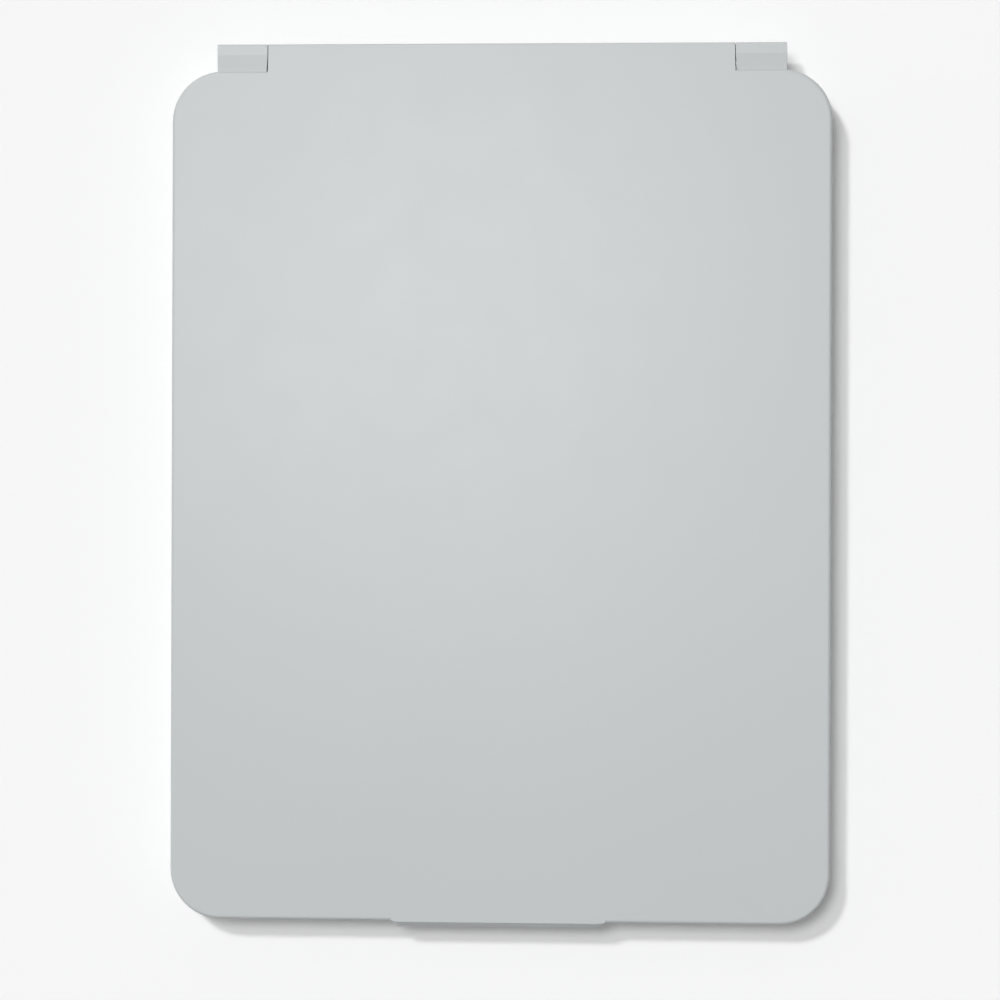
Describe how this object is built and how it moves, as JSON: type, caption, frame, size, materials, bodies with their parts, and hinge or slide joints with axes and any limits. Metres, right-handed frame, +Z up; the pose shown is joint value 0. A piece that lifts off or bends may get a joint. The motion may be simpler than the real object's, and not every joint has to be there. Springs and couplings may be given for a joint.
{
  "type": "lighted travel mirror",
  "caption": "Slim rectangular lit mirror in a round-cornered case; a full-length cover on a side-to-side hinge closes over the glass and folds behind it as a stand.",
  "frame": {"origin": "on the surface it rests on, under the middle of the closed case", "axes": "+X to the right, +Y towards the hinge, +Z up through the closed cover"},
  "size_m": [0.17, 0.227, 0.0138],
  "materials": {
    "case_plastic": "soft-touch satin light grey",
    "diffuser_plastic": "frosted opal",
    "mirror_silver": "silvered, bevelled",
    "foam_tape": "foam",
    "carrier_plastic": "moulded white",
    "led_board_white": "white solder mask",
    "led_lens": "phosphor gel",
    "ribbon_film": "amber film",
    "board_green": "green solder mask",
    "steel": "plated",
    "black_plastic": "moulded black",
    "light_pipe_clear": "clear",
    "battery_foil": "foil pouch",
    "lead_red": "insulated",
    "lead_black": "insulated",
    "socket_white": "moulded",
    "magnet_nickel": "nickel plated",
    "silicone": "matt grey silicone",
    "sleeve_brass": "spring brass",
    "liner_fabric": "soft microfibre"
  },
  "bodies": {
    "mirror_body": {"rear_housing": "case_plastic", "front_bezel": "case_plastic", "light_diffuser": "diffuser_plastic", "mirror_glass": "mirror_silver", "mirror_tape": "foam_tape", "mirror_carrier": "carrier_plastic", "led_board_hinge_side": "led_board_white", "led_board_lip_side": "led_board_white", "led_board_left": "led_board_white", "led_board_right": "led_board_white", "led_packages": "led_lens", "led_ribbon": "ribbon_film", "control_board": "board_green", "usb_c_shell": "steel", "usb_c_tongue": "black_plastic", "switch_body": "black_plastic", "board_components": "black_plastic", "charge_light_pipe": "light_pipe_clear", "battery_cell": "battery_foil", "battery_tape": "foam_tape", "battery_lead_red": "lead_red", "battery_lead_black": "lead_black", "battery_socket": "socket_white", "keeper_magnets": "magnet_nickel", "rear_feet": "silicone", "housing_screws": "steel", "friction_sleeve_left": "sleeve_brass", "friction_sleeve_right": "sleeve_brass"},
    "cover": {"cover_shell": "case_plastic", "cover_liner": "liner_fabric", "cover_magnets": "magnet_nickel", "cover_bumpers": "silicone", "hinge_pin_left": "steel", "hinge_pin_right": "steel"},
    "power_button": {"power_button": "case_plastic", "switch_plunger": "black_plastic"}
  },
  "joints": [
    {"name": "cover_hinge", "type": "hinge", "parent": "cover", "child": "mirror_body", "pos_m": [0, 0.11038, 0.0107], "axis": [1, 0, 0], "range_deg": [0, 278]},
    {"name": "button_press", "type": "slide", "parent": "mirror_body", "child": "power_button", "axis": [0, 0, -1], "range_m": [0, 0.0003], "stiffness_N_per_m": 4000}
  ]
}
